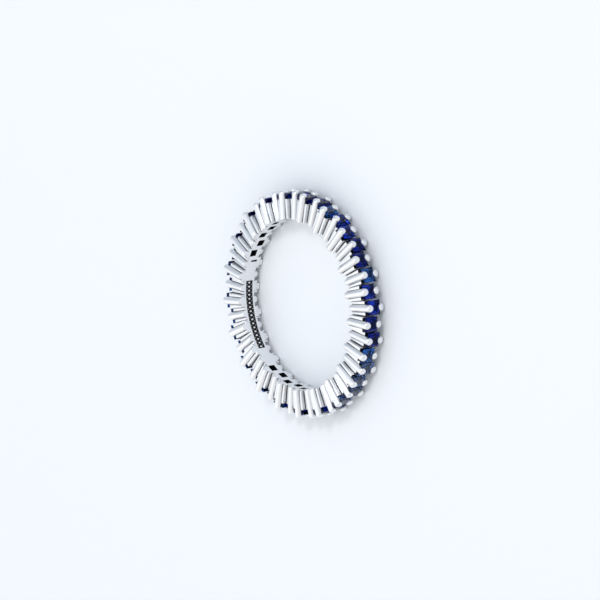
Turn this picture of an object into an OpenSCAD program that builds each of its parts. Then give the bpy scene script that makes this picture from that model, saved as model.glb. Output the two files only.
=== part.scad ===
// Eternity ring: 42 square-cut stones in open boxes, every second box moved to the other side.
// The ring lies on its side. The axis of the finger hole is Z and the floor is z = 0.
// Every box is drawn once in its own frame: X points away from the finger, Y along the ring,
// Z along the axis of the ring.

/* [Finger hole] */
// Diameter of the finger hole
finger_d = 16.9; // [16.6:0.1:17.4]
// Width of the slope where a box meets the finger hole
bore_bevel = 0.07; // [0.04:0.01:0.12]

/* [Stones] */
// Side of a square stone at its girdle
stone_side = 1.48; // [1.40:0.01:1.52]
// Side of the flat table on top of a stone
table_side = 0.97; // [0.85:0.01:1.05]
// Height from the girdle up to the table
crown_h = 0.14; // [0.10:0.01:0.18]
// Thickness of the girdle
girdle_t = 0.05; // [0.03:0.01:0.07]
// Depth from the girdle down to the point
pavilion_h = 0.80; // [0.74:0.01:0.84]
// Distance from the finger hole to the top of the girdle
seat_h = 2.45; // [2.40:0.05:2.60]
// Gap left between a stone and the metal round it
stone_gap = 0.02; // [0.01:0.005:0.03]

/* [Boxes] */
// How far neighbouring boxes are moved apart along the axis of the ring
stagger = 0.37; // [0.20:0.01:0.42]
// Width of a box along the ring, at the finger hole
box_w = 1.21; // [1.16:0.01:1.22]
// Width of a box along the ring, at the top of its cheeks
box_top_w = 1.46; // [1.40:0.01:1.48]
// Length of a box along the axis of the ring, at the top of its cheeks
box_l = 1.60; // [1.54:0.01:1.66]
// How much each end of a box stands further out at the finger hole
box_flare = 0.10; // [0.00:0.01:0.12]
// Distance from the top of the girdle down to the top of the cheeks
cheek_drop = 0.45; // [0.40:0.01:0.60]
// How far the end walls sit back from the ends of the cheeks
wall_inset = 0.10; // [0.05:0.01:0.14]
// Distance from the top of the girdle down to the top of the end walls
wall_drop = 0.55; // [0.52:0.01:0.70]
// Width of the opening under a stone, along the ring
window_w = 0.76; // [0.66:0.01:0.80]
// Length of the opening under a stone, along the axis
window_l = 0.74; // [0.64:0.01:0.78]

/* [Prongs] */
// Metal of a prong outside the girdle
prong_t = 0.315; // [0.28:0.005:0.36]
// How much further out a prong stands at the finger hole than at its bend
foot_offset = 0.15; // [0.10:0.01:0.20]
// Width of a prong at its hook
prong_w = 0.72; // [0.60:0.01:0.74]
// Width of a prong at the finger hole
prong_foot_w = 0.60; // [0.50:0.01:0.64]
// How far a prong reaches under the girdle
prong_under = 0.065; // [0.04:0.005:0.08]
// Thickness of the hook over the stone
hook_t = 0.27; // [0.22:0.01:0.30]
// Distance from the middle of a stone to the end of a hook
hook_end = 0.35; // [0.32:0.01:0.38]
// Radius of the bend at the top of a prong
bend_r = 0.30; // [0.22:0.01:0.34]

/* [Inner band] */
// Height of the band that joins the boxes, above the finger hole
band_h = 0.65; // [0.50:0.01:0.75]
// Width of that band
band_w = 1.20; // [1.00:0.01:1.22]
// Thickness of the smooth plate that closes some openings inside the ring
plate_t = 0.35; // [0.25:0.01:0.40]
// Width of the plate
plate_w = 1.14; // [1.12:0.01:1.36]
// Width of the sunk strip in the plate
strip_w = 0.80; // [0.60:0.01:0.90]
// Depth of the sunk strip
strip_d = 0.06; // [0.03:0.01:0.10]

/* [Hidden] */
stone_count = 42;
first_up = 12;           // this stone sits at the front, at -Y
plate_start_angle = 141; // ends of the plate and the strip, clockwise from the front stone
plate_end_angle = 215.6;
strip_start_angle = 154.7;
strip_end_angle = 201.9;
pitch = 360 / stone_count;
bore_r = finger_d / 2;
girdle_r = bore_r + seat_h;
girdle_low = girdle_r - girdle_t;
table_r = girdle_r + crown_h;
culet_r = girdle_low - pavilion_h;
half = stone_side / 2;
half_table = table_side / 2;
belly_r = girdle_low - 0.54 * pavilion_h;     // level where the pavilion facets break
belly_half = 0.69 * half;                     // half width there, at the middle of a side
belly_corner = 0.62 * half;                   // the same at a corner
break_r = girdle_r + 0.55 * crown_h;          // level where the crown facets break
break_half = half_table + 0.40 * (half - half_table);
break_corner = half_table + 0.52 * (half - half_table);
prong_face = half + prong_t;
foot_face = prong_face + foot_offset;
post_in = 0.36;          // half distance between the two cheeks, seen from the end of a box
prong_top = table_r + stone_gap + hook_t;
bend_low = prong_top - bend_r;                // where the bend of a prong starts
lean_angle = atan(foot_offset / (bend_low - bore_r - bore_bevel));
tip_round = hook_t / 2;
prong_flat = 0.02;       // depth of the flats on the round face and the round end of a prong
foot = 0.2;              // metal drawn inside the finger hole before the hole is cut
cheek_h = seat_h - cheek_drop;
middle_z = foot_face + stagger / 2;
box_top = bore_r + cheek_h;
wall_top = girdle_r - wall_drop;
cut = 0.5;               // how far cutting shapes reach past the metal

metal_colour = [0.90, 0.91, 0.93];
stone_colour = [0.03, 0.06, 0.36];

function stone_name(k) = str("stone_", k < 10 ? "0" : "", k);

$fn = 64;

// Angle of a place round the ring, counted in stones, clockwise as seen from above
function place_angle(k) = -90 - (k - first_up) * pitch;

// Even stones sit nearer the top face of the lying ring, odd stones nearer the floor
function place_z(k) = middle_z + (k % 2 == 0 ? stagger / 2 : -stagger / 2);

// Puts a shape drawn in the frame of a box at its place in the ring
module at_place(k) {
    translate([0, 0, place_z(k)]) rotate([0, 0, place_angle(k)]) children();
}

// Part of the ring between two angles, clockwise from the front stone as seen from above:
// a rectangle of width w, from radius r0 to r1
module arc_band(from_angle, to_angle, r0, r1, w) {
    translate([0, 0, middle_z]) rotate([0, 0, place_angle(first_up) - to_angle])
        rotate_extrude(angle = to_angle - from_angle)
            translate([r0, -w / 2]) square([r1 - r0, w]);
}

// Side outline of a cheek or wall in X and Z, with the slopes at the finger hole
module wall_outline(length, top) {
    h = length / 2;
    wide = h + box_flare;
    low = bore_r - foot;
    polygon([
        [low, -(wide - bore_bevel)],
        [bore_r, -(wide - bore_bevel)],
        [bore_r + bore_bevel, -wide],
        [top, -h],
        [top, h],
        [bore_r + bore_bevel, wide],
        [bore_r, wide - bore_bevel],
        [low, wide - bore_bevel]
    ]);
}

// Turns an outline in X and Z into a plate of thickness t, centred on Y
module along_y(t) {
    rotate([90, 0, 0]) linear_extrude(height = t, center = true) children();
}

// Both cheeks of a box: side outline and front outline together
module cheeks() {
    low = bore_r - foot;
    intersection() {
        along_y(2 * box_top_w) wall_outline(box_l, box_top);
        linear_extrude(height = 2 * box_l, center = true)
            for (s = [-1, 1])
                polygon([
                    [low, s * post_in],
                    [box_top + cut, s * post_in],
                    [box_top + cut, s * (box_top_w + (box_top_w - box_w) * cut / cheek_h) / 2],
                    [low, s * (box_w - (box_top_w - box_w) * foot / cheek_h) / 2]
                ]);
    }
}

// The end walls of a box, and the metal between them that the opening is cut from
module box_core() {
    along_y(box_w / 2 + post_in) wall_outline(box_l - 2 * wall_inset, wall_top);
}

// Outline of both prongs of a box in X and Z, with hooks, and clear of the stone
module prong_pair_outline() {
    difference() {
        for (other_side = [0, 1]) mirror([0, other_side]) prong_outline();
        stone_room();
    }
}

// Outline of the prong on the +Z side before the room for the stone is cut
module prong_outline() {
    inner = half - prong_under;
    polygon([
        [bore_r - foot, inner],
        [bore_r - foot, foot_face - bore_bevel],
        [bore_r, foot_face - bore_bevel],
        [bore_r + bore_bevel, foot_face],
        [bend_low, prong_face],
        [prong_top, prong_face - bend_r],
        [prong_top, hook_end + tip_round],
        [prong_top - tip_round, hook_end],
        [table_r, hook_end],
        [girdle_r, inner]
    ]);
    translate([bend_low, prong_face - bend_r]) circle(bend_r);
    translate([prong_top - tip_round, hook_end + tip_round]) circle(tip_round);
}

// Outline of a stone through the middle of its sides, grown by the gap
module stone_room() {
    g = stone_gap;
    polygon([
        [belly_r - g, 0],
        [belly_r - g, belly_half + g],
        [girdle_low - g, half + g],
        [girdle_r + g, half + g],
        [table_r + g, half_table + g],
        [table_r + g, -half_table - g],
        [girdle_r + g, -half - g],
        [girdle_low - g, -half - g],
        [belly_r - g, -belly_half - g]
    ]);
}

// Both prongs of a box: side outline, front outline and the outline from outside together
module prong_pair() {
    top = prong_top + cut;
    low = bore_r - foot - cut;
    intersection() {
        along_y(prong_w + cut) prong_pair_outline();
        linear_extrude(height = 2 * foot_face + cut, center = true) prong_front(low);
        for (s = [-1, 1])
            translate([bend_low, 0, 0]) rotate([0, s * lean_angle, 0])
                translate([low - bend_low, 0, 0]) rotate([0, 90, 0])
                    linear_extrude(height = top - low) hook_outline(s);
    }
}

// A prong seen from the end of its box: narrower at the foot, with a round top that is a little
// higher than the hook, so that the hook keeps a narrow flat
module prong_front(low) {
    w_top = prong_w / 2 + prong_flat;
    w_low = prong_foot_w / 2;
    dome = prong_top + prong_flat - w_top;
    polygon([[low, -w_low], [girdle_low, -w_top], [dome, -w_top],
             [dome, w_top], [girdle_low, w_top], [low, w_low]]);
    translate([dome, 0]) circle(w_top);
}

// A prong seen from outside: a strip with a round face and a round end, both a little longer
// than the prong, so that its front and its tip keep a narrow flat
module hook_outline(s) {
    r = prong_w / 2;
    mid = (prong_face + hook_end) / 2;
    span = max(prong_flat, prong_face - hook_end + 2 * prong_flat - prong_w);
    translate([-s * mid, 0]) square([span, prong_w], center = true);
    for (e = [-1, 1]) translate([-s * mid + e * span / 2, 0]) circle(r);
}

// Opening under a stone, from the finger hole up, with the slopes that the stone sits on
module window_cut() {
    translate([bore_r - cut, -window_w / 2, -window_l / 2])
        cube([wall_top - bore_r + 2 * cut, window_w, window_l]);
    seat_cut();
}

// Room for the pavilion, cut in both directions from the same outline
module seat_cut() {
    intersection() {
        along_y(2 * stone_side) seat_outline();
        rotate([90, 0, 0]) along_y(2 * stone_side) seat_outline();
    }
}

// Pavilion from its point up to the girdle, grown by the gap
module seat_outline() {
    g = stone_gap;
    slope = belly_half / (belly_r - culet_r);
    wide = belly_half + g * (1 + slope);
    polygon([
        [culet_r - g, 0],
        [belly_r, wide],
        [girdle_low, half + wide - belly_half],
        [girdle_low, belly_half - half - wide],
        [belly_r, -wide]
    ]);
}

// Metal of one box
module box_metal() {
    box_core();
    cheeks();
    prong_pair();
}

// The soldered metal of the ring
module setting() {
    color(metal_colour) difference() {
        union() {
            difference() {
                union() {
                    translate([0, 0, middle_z - band_w / 2])
                        cylinder(r = bore_r + band_h, h = band_w);
                    for (k = [1 : stone_count]) at_place(k) box_metal();
                }
                for (k = [1 : stone_count]) at_place(k) window_cut();
            }
            arc_band(plate_start_angle, plate_end_angle, bore_r - foot, bore_r + plate_t, plate_w);
        }
        translate([0, 0, -cut]) cylinder(r = bore_r, h = 2 * (middle_z + cut));
        arc_band(strip_start_angle, strip_end_angle, bore_r - foot, bore_r + strip_d, strip_w);
    }
}

// Four corners and four middles of the sides of a square at height x, in turn round the stone
function ring_of_eight(x, corner, side) = [
    for (i = [0 : 3]) each [
        [x, corner * corner_y(i), corner * corner_z(i)],
        [x, side * side_y(i), side * side_z(i)]
    ]
];
function corner_y(i) = i < 2 ? 1 : -1;
function corner_z(i) = (i == 0 || i == 3) ? 1 : -1;
function side_y(i) = [1, 0, -1, 0][i];
function side_z(i) = [0, -1, 0, 1][i];

// Two triangles between points i and i + 1 of one ring of eight and the ring below it
function strip_faces(a, b) = [
    for (i = [0 : 7]) let (j = (i + 1) % 8) each [[a + i, b + i, b + j], [a + i, b + j, a + j]]
];

// A square-cut stone: table, star and kite facets, girdle, pavilion facets and point
module square_stone() {
    points = concat(
        [for (i = [0 : 3]) [table_r, half_table * corner_y(i), half_table * corner_z(i)]],
        ring_of_eight(break_r, break_corner, break_half),
        ring_of_eight(girdle_r, half, half),
        ring_of_eight(girdle_low, half, half),
        ring_of_eight(belly_r, belly_corner, belly_half),
        [[culet_r, 0, 0]]
    );
    crown = 4;
    girdle = 12;
    under = 20;
    belly = 28;
    point = 36;
    faces = concat(
        [[0, 1, 2, 3]],
        [for (i = [0 : 3]) let (j = (i + 1) % 4, c = crown + 2 * i, m = c + 1,
                                n = crown + (2 * i + 2) % 8)
            each [[i, m, j], [i, c, m], [j, m, n]]],
        strip_faces(crown, girdle),
        strip_faces(girdle, under),
        strip_faces(under, belly),
        [for (i = [0 : 7]) [belly + i, point, belly + (i + 1) % 8]]
    );
    polyhedron(points = points, faces = faces, convexity = 2);
}

// One stone of the row
module stone(k) {
    color(stone_colour) at_place(k) square_stone();
}

setting();
for (k = [1 : stone_count]) stone(k);
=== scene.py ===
"""Looks of an eternity ring that lies on its side: 42 square stones in open metal boxes.

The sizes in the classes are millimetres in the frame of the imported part: the axis of the finger
hole is Z and the floor is z = 0. A box is drawn once in its own frame (X away from the finger, Y
along the ring, Z along the axis) and Geometry Nodes set it round the ring. Each finished mesh is
brought to metres once.
"""

import logging
import math
from dataclasses import dataclass
from enum import Enum
from functools import cache, partial
from typing import Any, Callable, Optional, Sequence

import bmesh
import bpy
from bmesh.types import BMesh, BMVert
from bpy.types import Material, Mesh, Node, NodeSocket, NodeTree, Object
from mathutils import Matrix, Vector


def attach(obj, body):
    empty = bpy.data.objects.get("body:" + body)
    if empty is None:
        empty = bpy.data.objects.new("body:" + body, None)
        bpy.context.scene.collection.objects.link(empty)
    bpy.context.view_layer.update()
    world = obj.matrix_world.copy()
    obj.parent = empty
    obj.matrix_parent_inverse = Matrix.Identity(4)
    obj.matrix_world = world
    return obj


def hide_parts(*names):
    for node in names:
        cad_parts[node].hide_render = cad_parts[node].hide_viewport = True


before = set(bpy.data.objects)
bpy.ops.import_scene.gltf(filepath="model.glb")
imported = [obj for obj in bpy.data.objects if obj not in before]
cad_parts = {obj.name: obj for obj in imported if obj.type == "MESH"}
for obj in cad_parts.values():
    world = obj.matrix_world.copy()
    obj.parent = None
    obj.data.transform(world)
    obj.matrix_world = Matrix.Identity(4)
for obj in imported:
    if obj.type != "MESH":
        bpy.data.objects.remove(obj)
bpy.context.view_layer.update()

LOG = logging.getLogger("ring")
MM = 0.001
BODY = "root"
INNER = "inner"

# Sockets of a Mix node for colours, by number: factor, both colours, and the mixed output.
MIX_FACTOR, MIX_A, MIX_B, MIX_OUT = 0, 6, 7, 2

# Points closer than this are one point, in millimetres.
SAME_POINT = 1e-6


# ---- small helpers ----


def linear(hex_colour: str) -> tuple[float, float, float, float]:
    """Turns an sRGB hex colour into a linear one, by the curve of the sRGB standard.

    Args:
        hex_colour: six hex digits, such as "E8E9EC".

    Returns:
        Linear red, green and blue, and an alpha of 1.
    """
    parts = [int(hex_colour[i : i + 2], 16) / 255 for i in (0, 2, 4)]
    red, green, blue = (c / 12.92 if c <= 0.04045 else ((c + 0.055) / 1.055) ** 2.4 for c in parts)
    return (red, green, blue, 1.0)


def per_mm(size: float) -> float:
    """Scale of a texture on Object coordinates whose features are size millimetres wide."""
    return 1.0 / (size * MM)


def feed(node: Node, inputs: dict[Any, Any]) -> None:
    """Sets or links inputs of a node.

    Args:
        node: the node.
        inputs: input names or numbers, each with a value or with the output that feeds it.
    """
    for key, value in inputs.items():
        if isinstance(value, NodeSocket):
            node.id_data.links.new(value, node.inputs[key])
        else:
            node.inputs[key].default_value = value


def add_node(
    tree: NodeTree, kind: str, inputs: Optional[dict[Any, Any]] = None, **settings: Any
) -> Node:
    """Adds one node with its settings and links.

    Args:
        tree: the node tree that gets the node.
        kind: the node's bl_idname.
        inputs: input names or numbers, each with a value or with the output that feeds it.
        settings: the node's own settings.

    Returns:
        The new node.
    """
    node = tree.nodes.new(kind)
    for name, value in settings.items():
        setattr(node, name, value)
    feed(node, inputs or {})
    return node


def blank_material(
    name: str, inputs: dict[str, Any]
) -> tuple[Material, Callable[..., Node], Node]:
    """Makes a material that is the same all over.

    Args:
        name: the material's name.
        inputs: names of the shader's inputs, each with its value.

    Returns:
        The material, a function that adds a node to it, and its shader.
    """
    material = bpy.data.materials.new(name)
    material.use_nodes = True
    shader = material.node_tree.nodes["Principled BSDF"]
    feed(shader, inputs)
    return material, partial(add_node, material.node_tree), shader


def add_relief(
    shader: Node, size: float, height: float, pattern: dict[str, float], share: float = 1.0
) -> NodeSocket:
    """Gives a surface a fine relief that catches the light.

    Args:
        shader: the surface's shader.
        size: width of the relief's features, in millimetres.
        height: their height, in millimetres.
        pattern: how the features look, as inputs of the noise.
        share: how much of the relief is seen.

    Returns:
        The output that holds the pattern.
    """
    add = partial(add_node, shader.id_data)
    place = add("ShaderNodeTexCoord").outputs["Object"]
    values: dict[str, Any] = {"Vector": place, "Scale": per_mm(size), **pattern}
    noise = add("ShaderNodeTexNoise", values).outputs["Fac"]
    values = {"Height": noise, "Strength": share, "Distance": height * MM}
    feed(shader, {"Normal": add("ShaderNodeBump", values).outputs["Normal"]})
    return noise


def mesh_object(name: str, mesh: Mesh) -> Object:
    """Makes an object for a mesh and links it to the scene.

    Args:
        name: the object's name.
        mesh: its mesh.

    Returns:
        The new object, at the origin.
    """
    thing = bpy.data.objects.new(name, mesh)
    bpy.context.scene.collection.objects.link(thing)
    return thing


def mesh_from_bm(name: str, bm: BMesh, weld: bool = True) -> Mesh:
    """Turns a bmesh into a mesh and frees it.

    Args:
        name: name of the mesh.
        bm: the bmesh, in millimetres.
        weld: whether to join points in one place and to turn the faces outward.

    Returns:
        The new mesh.
    """
    if weld:
        bmesh.ops.remove_doubles(bm, verts=bm.verts, dist=SAME_POINT)
        bmesh.ops.recalc_face_normals(bm, faces=bm.faces)
    mesh = bpy.data.meshes.new(name)
    bm.to_mesh(mesh)
    bm.free()
    return mesh


def applied(thing: Object) -> Mesh:
    """Mesh of an object with its modifiers applied.

    Args:
        thing: an object with modifiers.

    Returns:
        A new mesh. The object's modifiers are removed.
    """
    graph = bpy.context.evaluated_depsgraph_get()
    graph.update()
    mesh = bpy.data.meshes.new_from_object(thing.evaluated_get(graph), depsgraph=graph)
    thing.modifiers.clear()
    return mesh


def drop(*things: Object) -> None:
    """Removes helper objects from the file."""
    for thing in things:
        bpy.data.objects.remove(thing, do_unlink=True)


def joined(name: str, meshes: Sequence[Mesh]) -> Mesh:
    """Joins meshes into one and removes them.

    Args:
        name: name of the joined mesh.
        meshes: the meshes, in order.

    Returns:
        The joined mesh.
    """
    bm = bmesh.new()
    for mesh in meshes:
        bm.from_mesh(mesh)
        bpy.data.meshes.remove(mesh)
    return mesh_from_bm(name, bm, weld=False)


def round_edges(thing: Object, radius: float, segments: int, above: float) -> None:
    """Adds a modifier that rounds the edges of an object.

    Args:
        thing: the object.
        radius: how far the rounding reaches from the edge, in millimetres.
        segments: number of faces across it.
        above: only edges that turn by more than this are rounded, in degrees.
    """
    edge = thing.modifiers.new("edge", "BEVEL")
    edge.width = radius
    edge.segments = segments
    edge.limit_method = "ANGLE"
    edge.angle_limit = math.radians(above)


def quarter(steps: int) -> list[tuple[float, float]]:
    """Cosine and sine of angles in even steps over a quarter turn, from 0."""
    angles = [0.5 * math.pi * i / steps for i in range(steps + 1)]
    return [(math.cos(a), math.sin(a)) for a in angles]


def loft(bm: BMesh, rings: Sequence[Sequence[Vector]]) -> None:
    """Adds a closed shell through rings of points that all have the same number of points.

    Args:
        bm: the bmesh that gets the shell.
        rings: closed loops of points, in order. The first and the last are filled.
    """
    loops = [[bm.verts.new(p) for p in ring] for ring in rings]
    for low, high in zip(loops, loops[1:]):
        for i in range(len(low)):
            j = (i + 1) % len(low)
            bm.faces.new((low[i], low[j], high[j], high[i]))
    bm.faces.new(loops[0])
    bm.faces.new(loops[-1])


def finish_piece(name: str, mesh: Mesh, smooth_below: float) -> Object:
    """Brings a mesh of metal to metres, smooths it and hangs it on the frame.

    Args:
        name: name of the piece.
        mesh: its mesh, in millimetres.
        smooth_below: faces that meet at less than this angle shade as one, in degrees.

    Returns:
        The finished piece.
    """
    mesh.transform(Matrix.Scale(MM, 4))
    mesh.shade_smooth()
    mesh.set_sharp_from_angle(angle=math.radians(smooth_below))
    piece = mesh_object(name, mesh)
    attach(piece, BODY)
    return piece


# ---- plan of the ring ----


@dataclass(frozen=True)
class RingPlan:
    """Sizes and places that all pieces share, in millimetres, as in the part's solids."""

    count: int = 42
    front_stone: int = 12
    front_angle: float = -90.0
    bore_r: float = 8.45
    middle_z: float = 1.39
    stagger: float = 0.37
    stone_half: float = 0.74
    table_half: float = 0.485
    girdle_r: float = 10.90
    girdle_t: float = 0.05
    table_r: float = 11.04
    belly_r: float = 10.418
    belly_half: float = 0.5106
    culet_r: float = 10.05
    gap: float = 0.02
    lift: float = 0.005

    @property
    def box_low(self) -> float:
        """Radius at which boxes and prongs start, a hair outside the finger hole."""
        return self.bore_r + self.lift

    @property
    def girdle_low(self) -> float:
        """Radius of the lower edge of the girdle."""
        return self.girdle_r - self.girdle_t

    @property
    def pitch(self) -> float:
        """Angle from one place to the next, in degrees."""
        return 360.0 / self.count

    def angle(self, place: float) -> float:
        """Angle of a place round the ring, in degrees, clockwise as seen from above."""
        return self.front_angle - (place - self.front_stone) * self.pitch

    def place_at(self, clockwise: float) -> float:
        """Place, counted in stones, at an angle clockwise from the front stone."""
        return self.front_stone + clockwise / self.pitch


# ---- finishes ----


@dataclass(frozen=True)
class PolishedWhiteGold:
    """White gold, cast, polished and plated with rhodium.

    The plating is almost white. The casting leaves faint waves under the polish, so a highlight
    wavers a little along a bar, and fine wipe marks soften it. The narrow corners between the bars,
    where an ambient occlusion node finds them, get a darker grey as painted shade, which gives each
    bar a thin dark edge. Real wipe marks are about 0.01 mm wide, too fine to show, so they are
    drawn 0.12 mm wide.
    """

    name: str = "white_gold_rhodium_plated_polished"
    colour: str = "EFF0F2"
    corner_shade_colour: str = "94969B"
    corner_mm: float = 0.25
    corner_rays: int = 8
    dark_below: float = 0.30
    unshaded_above: float = 0.80
    roughness_low: float = 0.30
    roughness_high: float = 0.42
    wave_mm: float = 0.45
    wave_height_mm: float = 0.004
    grit_mm: float = 0.12

    def build(self) -> Material:
        """Builds the material.

        Returns:
            The material.
        """
        material, add, shader = blank_material(self.name, {"Metallic": 1.0})
        # Painted shade: where ambient occlusion finds a narrow corner, the darker corner colour is
        # mixed into the base colour.
        values: dict[Any, Any] = {"Distance": self.corner_mm * MM}
        corner = add("ShaderNodeAmbientOcclusion", values, samples=self.corner_rays).outputs["AO"]
        values = {"Value": corner, "From Min": self.dark_below, "From Max": self.unshaded_above}
        unshaded = add("ShaderNodeMapRange", values).outputs["Result"]
        values = {MIX_FACTOR: unshaded, MIX_A: linear(self.corner_shade_colour), MIX_B: linear(self.colour)}
        tone = add("ShaderNodeMix", values, data_type="RGBA").outputs[MIX_OUT]
        place = add("ShaderNodeTexCoord").outputs["Object"]
        values = {"Vector": place, "Scale": per_mm(self.grit_mm), "Detail": 3.0, "Roughness": 0.6}
        grit = add("ShaderNodeTexNoise", values).outputs["Fac"]
        values = {"Value": grit, "To Min": self.roughness_low, "To Max": self.roughness_high}
        spread = add("ShaderNodeMapRange", values).outputs["Result"]
        feed(shader, {"Base Color": tone, "Roughness": spread})
        add_relief(shader, self.wave_mm, self.wave_height_mm, {"Detail": 1.0, "Roughness": 0.4})
        return material


@dataclass(frozen=True)
class OpeningShade:
    """White gold as it leaves the mould, inside the openings where no polishing wheel reaches.

    Its dark grey colour is painted shade that stands in for the shade inside the openings, so an
    opening looks nearly black; the metal is also dull, with a fine grain. The real grain is about
    0.03 mm, too fine to show, so it is drawn at 0.12 mm.
    """

    name: str = "white_gold_casting_skin"
    # Painted shade: this dark grey stands in for the shade inside the openings.
    colour: str = "3A3B40"
    roughness_low: float = 0.40
    roughness_high: float = 0.65
    grain_mm: float = 0.12
    grain_height_mm: float = 0.014

    def build(self) -> Material:
        """Builds the material.

        Returns:
            The material.
        """
        values: dict[str, Any] = {"Base Color": linear(self.colour), "Metallic": 1.0}
        material, add, shader = blank_material(self.name, values)
        grain = add_relief(shader, self.grain_mm, self.grain_height_mm, {"Detail": 3.0})
        values = {"Value": grain, "To Min": self.roughness_low, "To Max": self.roughness_high}
        feed(shader, {"Roughness": add("ShaderNodeMapRange", values).outputs["Result"]})
        return material


@dataclass(frozen=True)
class BlackRhodiumGround:
    """Black rhodium on a matted ground: a deep, even black with a dull grain.

    The real grain is about 0.02 mm, too fine to show, so it is drawn at 0.10 mm.
    """

    name: str = "black_rhodium_matted"
    colour: str = "0B0B0D"
    roughness: float = 0.55
    specular_level: float = 0.3
    grain_mm: float = 0.10
    grain_height_mm: float = 0.010
    grain_share: float = 0.6

    def build(self) -> Material:
        """Builds the material.

        Returns:
            The material.
        """
        values = {
            "Base Color": linear(self.colour),
            "Roughness": self.roughness,
            "Specular IOR Level": self.specular_level,
        }
        material, _, shader = blank_material(self.name, values)
        pattern = {"Detail": 2.0}
        add_relief(shader, self.grain_mm, self.grain_height_mm, pattern, self.grain_share)
        return material


class StoneTone(Enum):
    """The blues of the row: body colour, colour of the clearer zones, colour of a reflection."""

    DEEP = ("050C4E", "0E229C", "2A4498")
    ROYAL = ("0A1C80", "1C42D0", "2A4498")
    CLEAR = ("12368E", "387CD4", "5074C0")
    # Painted reflection: a paler copy of the blues, standing in for the pale floor that the stones
    # on one side of the ring reflect.
    STEEL = ("1E3470", "688CC8", "B4C8EC")


@dataclass(frozen=True)
class Sapphire:
    """Blue sapphire, sawn, facetted and polished.

    Light enters through the table, turns back at the pavilion facets and leaves as bright flashes
    beside nearly black facets. The colour lies in faint zones, as in a natural crystal.
    """

    tone: StoneTone
    zone_mm: float = 0.9
    roughness: float = 0.02
    ior: float = 1.77

    def build(self) -> Material:
        """Builds the material.

        Returns:
            The material.
        """
        body, zone, glint = self.tone.value
        values: dict[Any, Any] = {
            "Roughness": self.roughness,
            "IOR": self.ior,
            "Specular Tint": linear(glint),
            "Transmission Weight": 1.0,
        }
        name = f"sapphire_facetted_{self.tone.name.lower()}"
        material, add, shader = blank_material(name, values)
        place = add("ShaderNodeTexCoord").outputs["Object"]
        values = {"Vector": place, "Scale": per_mm(self.zone_mm), "Detail": 2.0, "Roughness": 0.5}
        zones = add("ShaderNodeTexNoise", values).outputs["Fac"]
        values = {MIX_FACTOR: zones, MIX_A: linear(body), MIX_B: linear(zone)}
        colour = add("ShaderNodeMix", values, data_type="RGBA").outputs[MIX_OUT]
        feed(shader, {"Base Color": colour})
        return material


@dataclass(frozen=True)
class MattPaper:
    """Uncoated white paper, rolled out under the ring: pale, even and without gloss."""

    name: str = "floor_paper_matt"
    colour: str = "F2F5F9"
    roughness: float = 0.7

    def build(self) -> Material:
        """Builds the material."""
        values = {"Base Color": linear(self.colour), "Roughness": self.roughness}
        return blank_material(self.name, values)[0]


# ---- Geometry Nodes ----


class Turn(Enum):
    """What happens to every second copy round the ring."""

    NONE = 0.0
    HALF_ABOUT_RADIUS = math.pi


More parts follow.
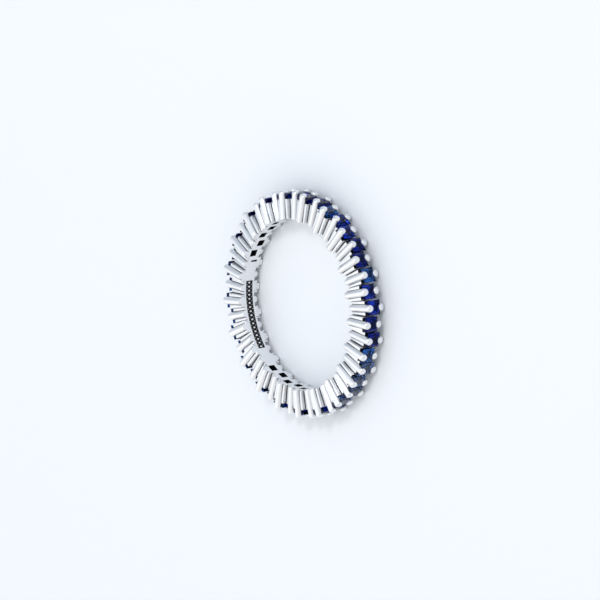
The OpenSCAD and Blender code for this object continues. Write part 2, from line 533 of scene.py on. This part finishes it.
@dataclass
class RingOfCopies:
    """A Geometry Nodes tree that sets copies of one object round the axis of the ring.

    Angles are degrees, the height of the middle is millimetres.
    """

    name: str
    count: int
    first_angle: float
    step_angle: float
    middle_z: float
    turn: Turn = Turn.NONE

    def tree(self) -> NodeTree:
        """Builds the node tree with named inputs for its sizes.

        Returns:
            The tree, which ends in Realize Instances and Set Material.
        """
        tree = bpy.data.node_groups.new(self.name, "GeometryNodeTree")
        face = tree.interface
        for kind, labels in (
            ("Object", ("Copy",)),
            ("Int", ("Count",)),
            ("Float", ("First Angle", "Step Angle", "Middle Height", "Turn Of Odd Copies")),
            ("Material", ("Material", "Inner Material")),
        ):
            for label in labels:
                face.new_socket(label, in_out="INPUT", socket_type="NodeSocket" + kind)
        face.new_socket("Geometry", in_out="OUTPUT", socket_type="NodeSocketGeometry")
        add = partial(add_node, tree)
        given = add("NodeGroupInput").outputs
        index = add("GeometryNodeInputIndex").outputs["Index"]
        height = add("ShaderNodeCombineXYZ", {"Z": given["Middle Height"]}).outputs["Vector"]
        values: dict[Any, Any] = {"Count": given["Count"], "Position": height}
        points = add("GeometryNodePoints", values).outputs["Points"]
        values = {0: index, 1: given["Step Angle"], 2: given["First Angle"]}
        angle = add("ShaderNodeMath", values, operation="MULTIPLY_ADD").outputs["Value"]
        odd = add("ShaderNodeMath", {0: index, 1: 2.0}, operation="MODULO").outputs["Value"]
        values = {0: odd, 1: given["Turn Of Odd Copies"]}
        flip = add("ShaderNodeMath", values, operation="MULTIPLY").outputs["Value"]
        euler = add("ShaderNodeCombineXYZ", {"X": flip, "Z": angle}).outputs["Vector"]
        turned = add("FunctionNodeEulerToRotation", {"Euler": euler}).outputs["Rotation"]
        values = {"Object": given["Copy"]}
        copy = add("GeometryNodeObjectInfo", values, transform_space="ORIGINAL")
        values = {"Points": points, "Instance": copy.outputs["Geometry"], "Rotation": turned}
        placed = add("GeometryNodeInstanceOnPoints", values).outputs["Instances"]
        real = add("GeometryNodeRealizeInstances", {"Geometry": placed}).outputs["Geometry"]
        values = {"Geometry": real, "Material": given["Material"]}
        dressed = add("GeometryNodeSetMaterial", values).outputs["Geometry"]
        inside = add("GeometryNodeInputNamedAttribute", {"Name": INNER}, data_type="BOOLEAN")
        values = {
            "Geometry": dressed,
            "Selection": inside.outputs["Attribute"],
            "Material": given["Inner Material"],
        }
        lined = add("GeometryNodeSetMaterial", values).outputs["Geometry"]
        add("NodeGroupOutput", {0: lined})
        return tree

    def mesh(
        self, copy: Object, material: Material, inner_material: Optional[Material] = None
    ) -> Mesh:
        """Sets the copies and turns the result into a plain mesh.

        Args:
            copy: the object to repeat, drawn in the frame of a box.
            material: the finish of all copies.
            inner_material: the finish of faces marked as inner, where it differs.

        Returns:
            The joined mesh, in millimetres.
        """
        tree = self.tree()
        carrier = mesh_object(self.name + "_carrier", bpy.data.meshes.new(self.name))
        modifier = carrier.modifiers.new(self.name, "NODES")
        values = {
            "Copy": copy,
            "Count": self.count,
            "First Angle": math.radians(self.first_angle),
            "Step Angle": math.radians(self.step_angle),
            "Middle Height": self.middle_z,
            "Turn Of Odd Copies": self.turn.value,
            "Material": material,
            "Inner Material": inner_material or material,
        }
        modifier.node_group = tree
        for item in tree.interface.items_tree:
            if item.in_out == "INPUT":
                modifier[item.identifier] = values[item.name]
        mesh = applied(carrier)
        drop(carrier)
        return mesh


# ---- metal ----


@dataclass
class Prong:
    """One prong: a half-round bar that leans out at its foot and bends over the stone.

    Towards the sides of its round face the bar lies lower: hook_fall is the share of its height
    over the stone that it loses, and bend_loss is the share of that loss by which it bends tighter.
    """

    plan: RingPlan
    face: float = 1.055
    foot_face: float = 1.205
    half_width: float = 0.395
    foot_half_width: float = 0.33
    inner: float = 0.675
    top: float = 11.33
    bend_r: float = 0.30
    hook_end: float = 0.35
    tip_r: float = 0.12
    foot_r: float = 0.07
    side_angle: float = 81.0
    widening: float = 1.15
    hook_fall: float = 0.86
    bend_loss: float = 0.5
    bend_least_r: float = 0.05
    tip_least_r: float = 0.01
    edge_step: float = 1e-4
    rows: int = 10
    foot_steps: int = 3
    leg_steps: int = 6
    bend_steps: int = 7
    tip_steps: int = 4

    def width_at(self, x: float) -> float:
        """Half width of the bar at a level.

        Args:
            x: the level, as a radius of the ring.

        Returns:
            Half the width, which grows from the foot and stays even near the hook.
        """
        share = (x - self.plan.bore_r) / (self.plan.girdle_r - self.plan.bore_r)
        span = self.half_width - self.foot_half_width
        return min(self.half_width, self.foot_half_width + self.widening * span * share)

    def under(self, z: float) -> float:
        """Level of the underside of the hook, which follows the top of the stone.

        Args:
            z: distance from the middle of the stone.

        Returns:
            The level, as a radius of the ring.
        """
        plan = self.plan
        low, high = plan.table_half + plan.gap, plan.stone_half + plan.gap
        share = min(max((z - low) / (high - low), 0.0), 1.0)
        return plan.table_r + plan.gap - share * (plan.table_r - plan.girdle_r)

    def outline(self, u: float) -> list[Vector]:
        """Closed outline of the bar at one angle across its round face.

        Args:
            u: angle across the round face in radians, 0 at its middle.

        Returns:
            Points of the outline, always the same number, with their place across the bar.
        """
        plan = self.plan
        # The further a point is from the middle of the round face, the lower it lies.
        drop_share = 1.0 - math.cos(u)
        bend_low = self.top - self.bend_r
        hook_drop = self.hook_fall * (self.top - plan.table_r - plan.gap) * drop_share
        leg_drop = self.half_width * drop_share
        bend_r = max(self.bend_r - self.bend_loss * (hook_drop + leg_drop), self.bend_least_r)
        centre_x = self.top - hook_drop - bend_r
        centre_z = self.face - leg_drop - bend_r
        end = min(self.hook_end + leg_drop, centre_z - self.tip_least_r)
        low = plan.box_low
        foot_drop = self.width_at(low) * drop_share
        points = [(low, self.inner)]
        points += [
            (low + self.foot_r * (1.0 - c), self.foot_face - foot_drop - self.foot_r * (1.0 - s))
            for c, s in quarter(self.foot_steps)
        ]
        start = low + self.foot_r
        for i in range(1, self.leg_steps + 1):
            share = i / self.leg_steps
            x = start + (bend_low - start) * share
            z = self.foot_face + (self.face - self.foot_face) * share
            points.append((min(x, centre_x), z - self.width_at(x) * drop_share))
        bend = quarter(self.bend_steps)[1:]
        points += [(centre_x + bend_r * s, centre_z + bend_r * c) for c, s in bend]
        crown = self.top - hook_drop
        tip_r = min(self.tip_r, crown - self.under(end) - plan.lift, centre_z - end)
        tip = quarter(self.tip_steps)
        points += [(crown - tip_r * (1.0 - c), end + tip_r * (1.0 - s)) for c, s in tip]
        # The underside follows the stone at its gap: crown, girdle, then the top of the pavilion.
        corner = max(end, plan.table_half + plan.gap) + self.edge_step
        outside = plan.stone_half + plan.gap
        slope = (plan.girdle_low - plan.belly_r) / (plan.stone_half - plan.belly_half)
        points += [
            (self.under(end), end),
            (self.under(corner), corner),
            (plan.girdle_r + plan.gap, outside),
            (plan.girdle_low - plan.lift, outside),
            (plan.girdle_low - (outside - self.inner) * slope, self.inner),
        ]
        return [Vector((x, self.width_at(x) * math.sin(u), z)) for x, z in points]

    def add_to(self, bm: BMesh, side: int) -> None:
        """Adds the prong on one side of a box.

        Args:
            bm: the bmesh that gets the shell.
            side: 1 for the +Z side, -1 for the other.
        """
        limit = math.radians(self.side_angle)
        rings = []
        for i in range(self.rows + 1):
            u = -limit + 2.0 * limit * i / self.rows
            rings.append([Vector((p.x, p.y, p.z * side)) for p in self.outline(u)])
        loft(bm, rings)


@dataclass
class StoneBox:
    """One open box of the row: two cheeks, two end walls and the opening under the stone."""

    plan: RingPlan
    prong: Prong
    half_width: float = 0.605
    top_half_width: float = 0.73
    half_length: float = 0.80
    flare: float = 0.10
    bevel: float = 0.07
    cheek_inner: float = 0.395
    cheek_drop: float = 0.45
    wall_inset: float = 0.10
    wall_drop: float = 0.55
    wall_half_width: float = 0.4825
    window_half_width: float = 0.386
    window_half_length: float = 0.376
    band_half_width: float = 0.60
    bed_depth: float = 0.12
    bed_inset: float = 0.03
    cutter_reach: float = 0.5
    room_tip: float = 0.004
    inner_slack: float = 0.012
    opening_start: float = 0.03
    cheek_edge_r: float = 0.075
    wall_edge_r: float = 0.02
    edge_segments: int = 3
    edge_above: float = 40.0
    shortest_edge: float = 0.001

    def slab(self, name: str, levels: Sequence[tuple[float, float, float, float]]) -> Object:
        """Makes a closed slab from rectangles at rising levels.

        Args:
            name: name for the helper object.
            levels: level, lowest Y, highest Y and half length along Z of each rectangle.

        Returns:
            The slab as an object.
        """
        rings = [
            [Vector((x, y, z)) for y, z in ((y0, -h), (y1, -h), (y1, h), (y0, h))]
            for x, y0, y1, h in levels
        ]
        bm = bmesh.new()
        loft(bm, rings)
        return mesh_object(name, mesh_from_bm(name, bm))

    def cheek(self, side: int) -> Object:
        """Makes one cheek.

        Args:
            side: 1 for the +Y side, -1 for the other.

        Returns:
            The cheek as an object.
        """
        low = self.plan.box_low
        top = self.plan.girdle_r - self.cheek_drop
        wide = self.half_length + self.flare
        rows = []
        for x, h in ((low, wide - self.bevel), (low + self.bevel, wide), (top, self.half_length)):
            share = (x - self.plan.bore_r) / (top - self.plan.bore_r)
            outer = self.half_width + share * (self.top_half_width - self.half_width)
            y0, y1 = sorted((side * self.cheek_inner, side * outer))
            rows.append((x, y0, y1, h))
        return self.slab(f"cheek_{side}", rows)

    def walls(self) -> Object:
        """Makes the block of both end walls, before the opening is cut.

        Returns:
            The block as an object.
        """
        low = self.plan.box_low
        top = self.plan.girdle_r - self.wall_drop
        h = self.half_length - self.wall_inset
        wide = h + self.flare
        y = self.wall_half_width
        rows = [(low, wide - self.bevel), (low + self.bevel, wide), (top, h)]
        return self.slab("walls", [(x, -y, y, z) for x, z in rows])

    def stone_room(self) -> Object:
        """Makes the room for the pavilion of the stone, from its point up to the girdle.

        Returns:
            The room as an object that is cut out of the metal.
        """
        plan, tip = self.plan, self.room_tip
        rows = [(plan.culet_r - plan.gap, -tip, tip, tip)]
        for x in (plan.belly_r, plan.girdle_low):
            half = self.room_half(x)
            rows.append((x, -half, half, half))
        return self.slab("stone_room", rows)

    def opening(self) -> Object:
        """Makes the block that cuts the opening under the stone.

        Returns:
            The block as an object.
        """
        y, h = self.window_half_width, self.window_half_length
        low, high = self.plan.bore_r - self.cutter_reach, self.plan.girdle_r
        return self.slab("opening", [(low, -y, y, h), (high, -y, y, h)])

    def band_bed(self) -> Object:
        """Makes the block that frees the face of the inner band, so that its strip stays open.

        Returns:
            The block as an object.
        """
        y, h = self.top_half_width, self.band_half_width - self.bed_inset
        low, high = self.plan.bore_r - self.cutter_reach, self.plan.bore_r + self.bed_depth
        bed = self.slab("band_bed", [(low, -y, y, h), (high, -y, y, h)])
        bed.data.transform(Matrix.Translation((0, 0, -self.plan.stagger / 2)))
        return bed

    def build(self) -> Object:
        """Builds the whole box with both prongs, moved off the middle as an even place is.

        Returns:
            The box as one object with closed shells, in millimetres.
        """
        room, hole, bed = self.stone_room(), self.opening(), self.band_bed()
        parts = (
            (self.cheek(1), (room, bed), self.cheek_edge_r),
            (self.cheek(-1), (room, bed), self.cheek_edge_r),
            (self.walls(), (room, hole, bed), self.wall_edge_r),
        )
        bm = bmesh.new()
        for shell, cutters, edge_r in parts:
            for cutter in cutters:
                cut = shell.modifiers.new("cut", "BOOLEAN")
                cut.operation = "DIFFERENCE"
                cut.solver = "EXACT"
                cut.object = cutter
            round_edges(shell, edge_r, self.edge_segments, self.edge_above)
            mesh = applied(shell)
            bm.from_mesh(mesh)
            bpy.data.meshes.remove(mesh)
        drop(room, hole, bed, *(shell for shell, _, _ in parts))
        # Faces on the walls of the opening and of the stone's room are marked for the painted
        # shade.
        inner = bm.faces.layers.bool.new(INNER)
        for face in bm.faces:
            face[inner] = self.is_inner(face.calc_center_median())
        for side in (1, -1):
            self.prong.add_to(bm, side)
        bmesh.ops.dissolve_degenerate(bm, dist=self.shortest_edge, edges=bm.edges)
        bmesh.ops.translate(bm, verts=bm.verts, vec=Vector((0, 0, self.plan.stagger / 2)))
        bmesh.ops.recalc_face_normals(bm, faces=bm.faces)
        return mesh_object("stone_box", mesh_from_bm("stone_box", bm, weld=False))

    def is_inner(self, point: Vector) -> bool:
        """Tells whether a point is on the walls of the opening or of the stone's room.

        Args:
            point: middle of a face of the box.

        Returns:
            True on these walls, which get the painted shade of the openings.
        """
        slack = self.inner_slack
        wide = min(self.room_half(point.x), self.plan.stone_half)
        in_room = point.x > self.plan.culet_r and max(abs(point.y), abs(point.z)) < wide + slack
        in_opening = (
            point.x > self.plan.bore_r + self.opening_start
            and abs(point.y) < self.window_half_width + slack
            and abs(point.z) < self.window_half_length + slack
        )
        return in_room or in_opening

    def room_half(self, x: float) -> float:
        """Half width of the stone's room at a level.

        Args:
            x: the level, as a radius of the ring.

        Returns:
            Half the width, 0 below the stone's point.
        """
        plan = self.plan
        deep = plan.belly_r - plan.culet_r
        wide = plan.belly_half + plan.gap * (1 + plan.belly_half / deep)
        if x < plan.belly_r:
            return wide * max(x - plan.culet_r + plan.gap, 0.0) / (deep + plan.gap)
        rim = plan.stone_half + wide - plan.belly_half
        share = (x - plan.belly_r) / (plan.girdle_low - plan.belly_r)
        return wide + share * (rim - wide)


@dataclass
class InnerBand:
    """The band inside the boxes, with the openings, the smooth plate and the sunk strip."""

    plan: RingPlan
    height: float = 0.65
    half_width: float = 0.60
    window_half_width: float = 0.38
    window_half_length: float = 0.37
    plate_start: float = 141.0
    plate_end: float = 215.6
    strip_start: float = 154.7
    strip_end: float = 201.9
    strip_half_width: float = 0.40
    strip_depth: float = 0.06
    longest_step: float = 0.17
    edge_r: float = 0.022
    edge_segments: int = 2
    edge_above: float = 50.0
    inner_margin: float = 0.01

    def breaks_round(self) -> list[float]:
        """Places at which a column of cells starts or ends.

        Returns:
            The places, counted in stones, once round the ring from half a place before stone 1.
        """
        plan = self.plan
        half = math.degrees(self.window_half_width / plan.bore_r) / plan.pitch
        marks = {0.5, plan.count + 0.5}
        for k in range(1, plan.count + 1):
            marks.update((k - half, k + half))
        for angle in (self.plate_start, self.plate_end, self.strip_start, self.strip_end):
            marks.add(plan.place_at(angle))
        rough = sorted(marks)
        fine: list[float] = []
        for a, b in zip(rough, rough[1:]):
            steps = max(1, math.ceil((b - a) / self.longest_step))
            fine += [a + (b - a) * i / steps for i in range(steps)]
        return fine + [rough[-1]]

    def breaks_across(self) -> list[float]:
        """Heights at which a row of cells starts or ends.

        Returns:
            The heights from the middle of the ring, from the lowest.
        """
        half, off = self.window_half_length, self.plan.stagger / 2
        marks = [self.half_width, self.strip_half_width, half + off, half - off]
        return sorted([-m for m in marks] + marks)

    def inner_level(self, place: float, z: float) -> Optional[float]:
        """Radius of the inner face of the cell round a point, or None where it is open.

        Args:
            place: middle of the cell, counted in stones.
            z: middle of the cell, from the middle of the ring.

        Returns:
            The radius, or None in an opening.
        """
        plan = self.plan
        angle = (place - plan.front_stone) * plan.pitch
        if self.plate_start < angle < self.plate_end:
            sunk = self.strip_start < angle < self.strip_end and abs(z) < self.strip_half_width
            return plan.bore_r + (self.strip_depth if sunk else 0.0)
        nearest = round(place)
        half = math.degrees(self.window_half_width / plan.bore_r) / plan.pitch
        middle = plan.stagger / 2 * (1 if nearest % 2 == 0 else -1)
        inside = abs(place - nearest) < half and abs(z - middle) < self.window_half_length
        return None if inside else plan.bore_r

    def build(self) -> Mesh:
        """Builds the band as one closed mesh from a grid of cells.

        Returns:
            The mesh, in millimetres.
        """
        plan = self.plan
        around, across = self.breaks_round(), self.breaks_across()
        columns, rows = len(around) - 1, len(across) - 1
        outer = plan.bore_r + self.height
        bm = bmesh.new()

        @cache
        def corner(i: int, j: int, r: float) -> BMVert:
            """Vertex at column i, row j and radius r of the grid, made once."""
            a = math.radians(plan.angle(around[i]))
            return bm.verts.new((r * math.cos(a), r * math.sin(a), across[j] + plan.middle_z))

        level = [
            [self.inner_level((a + b) / 2, (c + d) / 2) for c, d in zip(across, across[1:])]
            for a, b in zip(around, around[1:])
        ]
        for i in range(columns):
            right = (i + 1) % columns
            for j in range(rows):
                here = level[i][j]
                if here is None:
                    continue
                for r in (here, outer):
                    cell = ((i, j), (right, j), (right, j + 1), (i, j + 1))
                    bm.faces.new([corner(*spot, r) for spot in cell])
                above = level[i][j + 1] if j + 1 < rows else None
                below = level[i][j - 1] if j > 0 else None
                for other, start, stop in (
                    (level[right][j], (right, j), (right, j + 1)),
                    (level[i - 1][j], (i, j), (i, j + 1)),
                    (above, (i, j + 1), (right, j + 1)),
                    (below, (i, j), (right, j)),
                ):
                    far = outer if other is None else other
                    if far > here:
                        edges = ((start, here), (stop, here), (stop, far), (start, far))
                        bm.faces.new([corner(*spot, r) for spot, r in edges])
        band = mesh_object("band", mesh_from_bm("band", bm))
        round_edges(band, self.edge_r, self.edge_segments, self.edge_above)
        mesh = applied(band)
        drop(band)
        # Faces of the band inside the openings are marked for the painted shade.
        inner = mesh.attributes.new(INNER, "BOOLEAN", "FACE")
        low = plan.bore_r + self.edge_r + self.inner_margin
        high, edge = outer - self.inner_margin, self.half_width - self.inner_margin
        for face, mark in zip(mesh.polygons, inner.data):
            x, y, z = face.center
            mark.value = low < math.hypot(x, y) < high and abs(z - plan.middle_z) < edge
        return mesh


@dataclass
class Setting:
    """All the soldered metal of the ring."""

    plan: RingPlan
    finish: PolishedWhiteGold = PolishedWhiteGold()
    # Dark grey painted shade on the walls of the openings and the stones' rooms.
    opening_shade_finish: OpeningShade = OpeningShade()
    smooth_below: float = 38.0

    def build(self) -> Object:
        """Builds the metal and hangs it on the frame in place of its solid.

        Returns:
            The finished piece.
        """
        polished, opening_shade = self.finish.build(), self.opening_shade_finish.build()
        box = StoneBox(self.plan, Prong(self.plan)).build()
        ring = RingOfCopies(
            "boxes_round_ring",
            self.plan.count,
            self.plan.angle(0),
            -self.plan.pitch,
            self.plan.middle_z,
            Turn.HALF_ABOUT_RADIUS,
        )
        boxes = ring.mesh(box, polished, opening_shade)
        mesh = joined("setting_metal", (boxes, InnerBand(self.plan).build()))
        drop(box)
        mesh.materials.clear()
        mesh.materials.append(polished)
        mesh.materials.append(opening_shade)
        # Faces marked as inner, on the walls of the openings and rooms, get the painted shade.
        for face, mark in zip(mesh.polygons, mesh.attributes[INNER].data):
            face.material_index = int(mark.value)
        mesh.attributes.remove(mesh.attributes[INNER])
        piece = finish_piece("setting_metal", mesh, self.smooth_below)
        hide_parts("setting")
        return piece


@dataclass
class SunkStrip:
    """The blackened ground of the sunk strip, with a raised border of lozenges and beads.

    Each of the lozenge_rows is a share of a lozenge's height and the share of its size there. The
    bead_angles are the levels of a bead, as angles over its foot in degrees.
    """

    plan: RingPlan
    band: InnerBand
    clear: float = 0.004
    ground_t: float = 0.012
    ground_lift: float = 0.002
    ground_steps: int = 48
    lozenge_count: int = 17
    lozenge_half_length: float = 0.105
    lozenge_half_width: float = 0.165
    lozenge_rows: tuple[tuple[float, float], ...] = ((0.0, 1.0), (0.7, 0.92), (1.0, 0.66))
    bead_r: float = 0.042
    bead_off: float = 0.27
    bead_angles: tuple[float, ...] = (0.0, 35.0, 65.0)
    bead_sides: int = 10
    raised: float = 0.036
    sink: float = 0.004
    smooth_below: float = 30.0

    @property
    def span(self) -> float:
        """Angle of the strip, in degrees."""
        return self.band.strip_end - self.band.strip_start

    @property
    def floor_r(self) -> float:
        """Radius of the surface of the ground."""
        return self.plan.bore_r + self.band.strip_depth - self.ground_t

    def ground(self, material: Material) -> Object:
        """Builds the thin black ground.

        Args:
            material: its finish.

        Returns:
            The finished piece.
        """
        h = self.band.strip_half_width - self.clear
        edge = math.degrees(self.clear / self.plan.bore_r)
        low, high = self.floor_r, self.floor_r + self.ground_t - self.ground_lift
        rings = []
        for i in range(self.ground_steps + 1):
            turn = self.band.strip_start + edge + (self.span - 2 * edge) * i / self.ground_steps
            a = math.radians(self.plan.front_angle - turn)
            rings.append(
                [
                    Vector((r * math.cos(a), r * math.sin(a), self.plan.middle_z + z))
                    for r, z in ((low, -h), (low, h), (high, h), (high, -h))
                ]
            )
        bm = bmesh.new()
        loft(bm, rings)
        mesh = mesh_from_bm("strip_ground", bm)
        mesh.materials.append(material)
        return finish_piece("strip_ground", mesh, self.smooth_below)

    def lozenge(self) -> Object:
        """Draws one lozenge stud in the frame of a box, raised towards the finger.

        Returns:
            The stud as an object.
        """
        bm = bmesh.new()
        rings = []
        for share, size in self.lozenge_rows:
            x = self.floor_r + self.sink - share * (self.raised + self.sink)
            y, z = self.lozenge_half_length * size, self.lozenge_half_width * size
            rings.append([Vector((x, *p)) for p in ((y, 0), (0, z), (-y, 0), (0, -z))])
        loft(bm, rings)
        return mesh_object("lozenge", mesh_from_bm("lozenge", bm))

    def beads(self) -> Object:
        """Draws a pair of round beads in the frame of a box, raised towards the finger.

        Returns:
            The pair as one object.
        """
        bm = bmesh.new()
        around = [math.tau * i / self.bead_sides for i in range(self.bead_sides)]
        for side in (-1, 1):
            rings = []
            for a in self.bead_angles:
                up = math.sin(math.radians(a))
                x = self.floor_r + self.sink - (self.raised + self.sink) * up
                r, z = self.bead_r * math.cos(math.radians(a)), side * self.bead_off
                rings.append([Vector((x, r * math.cos(t), z + r * math.sin(t))) for t in around])
            loft(bm, rings)
        return mesh_object("beads", mesh_from_bm("beads", bm))

    def border(self, material: Material) -> Object:
        """Sets lozenges and beads in turn along the strip.

        Args:
            material: their finish.

        Returns:
            The finished piece.
        """
        step = self.span / self.lozenge_count
        meshes = []
        for copy, count, first in (
            (self.lozenge(), self.lozenge_count, 0.5),
            (self.beads(), self.lozenge_count - 1, 1.0),
        ):
            ring = RingOfCopies(
                copy.name + "_along_strip",
                count,
                self.plan.front_angle - self.band.strip_start - first * step,
                -step,
                self.plan.middle_z,
            )
            meshes.append(ring.mesh(copy, material))
            drop(copy)
        mesh = joined("strip_border", meshes)
        mesh.materials.clear()
        mesh.materials.append(material)
        return finish_piece("strip_border", mesh, self.smooth_below)

    def build(self) -> list[Object]:
        """Builds the ground and its raised border."""
        metal = bpy.data.materials[PolishedWhiteGold.name]
        return [self.ground(BlackRhodiumGround().build()), self.border(metal)]


# ---- stones ----


@dataclass
class StoneRow:
    """The row of square-cut stones, which keep the shape of their solids.

    The tones alternate, so that no two neighbours look alike, and two stretches are paler: one is a
    clearer blue, the other gets a paler copy of the blues that is painted reflection.
    """

    plan: RingPlan
    tones: tuple[StoneTone, ...] = (
        StoneTone.DEEP,
        StoneTone.ROYAL,
        StoneTone.DEEP,
        StoneTone.CLEAR,
        StoneTone.ROYAL,
    )
    tone_stride: int = 3
    # Painted reflection: these stones get the paler copy of the blues in place of the floor they
    # reflect.
    painted_reflection_places: range = range(17, 21)
    clear_places: range = range(28, 36)

    def tone(self, place: int) -> StoneTone:
        """Tone of the stone at a place.

        Args:
            place: number of the stone.

        Returns:
            Its tone.
        """
        if place in self.painted_reflection_places:
            return StoneTone.STEEL
        if place in self.clear_places:
            return StoneTone.CLEAR
        return self.tones[place * self.tone_stride % len(self.tones)]

    def build(self) -> list[Object]:
        """Gives each stone its finish.

        Returns:
            The stones, in order round the ring.
        """
        finishes = {tone: Sapphire(tone).build() for tone in StoneTone}
        stones = []
        for k in range(1, self.plan.count + 1):
            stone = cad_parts[f"stone_{k:02d}"]
            stone.data.materials.clear()
            stone.data.materials.append(finishes[self.tone(k)])
            stones.append(stone)
        return stones


# ---- floor, light and camera ----


@dataclass(frozen=True)
class Softbox:
    """A square area light that looks at the ring.

    Its direction is seen from the ring. Its distance and its side are metres. Its glow is how
    bright its face looks, where 1 is paper white.
    """

    name: str
    toward: tuple[float, float, float]
    away: float
    side: float
    glow: float

    def build(self) -> None:
        """Adds the light to the scene."""
        data = bpy.data.lights.new(self.name, "AREA")
        data.shape = "SQUARE"
        data.size = self.side
        data.energy = self.glow * math.pi * self.side**2
        light = bpy.data.objects.new(self.name, data)
        direction = Vector(self.toward).normalized()
        turn = direction.to_track_quat("Z", "Y").to_matrix().to_4x4()
        light.matrix_world = Matrix.Translation(direction * self.away) @ turn
        bpy.context.scene.collection.objects.link(light)


@dataclass
class Studio:
    """Pale floor, soft light and the camera at the photograph's angle.

    Angles are degrees. The camera's distance and shifts are millimetres, the floor is metres.
    """

    plan: RingPlan
    azimuth: float = -90.577
    elevation: float = 37.879
    roll: float = 99.237
    distance: float = 942.5
    focal_px: float = 9585.9
    image_px: float = 600.0
    right_shift: float = 0.2758
    up_shift: float = -0.3432
    sensor_mm: float = 36.0
    clip_m: tuple[float, float] = (0.05, 20.0)
    floor_size: float = 1.6
    near_tint: str = "FFFFFF"
    far_tint: str = "BFCBD8"
    tint_span: tuple[float, float] = (-0.6, 0.8)
    front_glow: float = 0.84
    back_glow: float = 0.96
    glow_span: tuple[float, float] = (-0.8, 0.6)
    lamps: tuple[Softbox, ...] = (
        Softbox("behind", (-0.25, 0.80, 0.60), 0.45, 0.40, 0.35),
        Softbox("overhead", (0.10, 0.10, 1.0), 0.50, 0.60, 0.40),
        Softbox("key", (0.45, -0.55, 0.75), 0.50, 0.10, 16.0),
    )

    def axes(self) -> tuple[Vector, Vector, Vector]:
        """Finds how the camera is turned.

        Returns:
            Its right, up and backward directions.
        """
        az, el, roll = (math.radians(v) for v in (self.azimuth, self.elevation, self.roll))
        back = Vector((math.cos(el) * math.cos(az), math.cos(el) * math.sin(az), math.sin(el)))
        level = Vector((0, 0, 1)).cross(back).normalized()
        upright = back.cross(level)
        right = level * math.cos(roll) - upright * math.sin(roll)
        up = level * math.sin(roll) + upright * math.cos(roll)
        return right, up, back

    def camera(self) -> Object:
        """Makes the camera.

        Returns:
            The camera, set as the scene's own.
        """
        right, up, back = self.axes()
        centre = Vector((0, 0, self.plan.middle_z))
        place = centre + back * self.distance - right * self.right_shift - up * self.up_shift
        data = bpy.data.cameras.new("camera")
        data.sensor_width = self.sensor_mm
        data.lens = self.focal_px * data.sensor_width / self.image_px
        data.clip_start, data.clip_end = self.clip_m
        camera = bpy.data.objects.new("camera", data)
        turn = Matrix((right, up, back)).transposed().to_4x4()
        camera.matrix_world = Matrix.Translation(place * MM) @ turn
        bpy.context.scene.collection.objects.link(camera)
        bpy.context.scene.camera = camera
        return camera

    def floor(self) -> Object:
        """Makes the plain pale floor.

        Returns:
            The floor.
        """
        bm = bmesh.new()
        h = self.floor_size / 2
        bm.faces.new([bm.verts.new((x, y, 0)) for x, y in ((-h, -h), (h, -h), (h, h), (-h, h))])
        mesh = mesh_from_bm("floor", bm, weld=False)
        mesh.materials.append(MattPaper().build())
        floor = mesh_object("floor", mesh)
        return floor

    def build(self) -> None:
        """Makes camera, floor and lights."""
        self.camera()
        self.floor()
        self.surroundings()
        for lamp in self.lamps:
            lamp.build()
        bpy.context.scene.view_settings.view_transform = "Standard"

    def surroundings(self) -> None:
        """Makes the soft surroundings: light behind the ring, darker in front, cool to one side."""
        world = bpy.data.worlds.new("studio")
        world.use_nodes = True
        add = partial(add_node, world.node_tree)
        place = add("ShaderNodeTexCoord").outputs["Generated"]
        axis = add("ShaderNodeSeparateXYZ", {"Vector": place}).outputs
        low, high = self.tint_span
        values: dict[Any, Any] = {"Value": axis["X"], "From Min": low, "From Max": high}
        cool = add("ShaderNodeMapRange", values).outputs["Result"]
        values = {MIX_FACTOR: cool, MIX_A: linear(self.near_tint), MIX_B: linear(self.far_tint)}
        tint = add("ShaderNodeMix", values, data_type="RGBA").outputs[MIX_OUT]
        low, high = self.glow_span
        values = {"Value": axis["Y"], "From Min": low, "From Max": high}
        values |= {"To Min": self.front_glow, "To Max": self.back_glow}
        glow = add("ShaderNodeMapRange", values).outputs["Result"]
        background = world.node_tree.nodes["Background"]
        feed(background, {"Color": tint, "Strength": glow})
        bpy.context.scene.world = world


def main() -> None:
    """Builds the pieces in order and reports each one."""
    logging.basicConfig(level=logging.INFO, format="%(name)s: %(message)s")
    plan = RingPlan()
    pieces: list[Object] = [Setting(plan).build()]
    pieces += SunkStrip(plan, InnerBand(plan)).build()
    pieces += StoneRow(plan).build()
    for piece in pieces:
        piece.data.calc_loop_triangles()
        LOG.info("%s: %d triangles", piece.name, len(piece.data.loop_triangles))
    Studio(plan).build()
    bpy.context.view_layer.update()


if __name__ == "__main__":
    main()
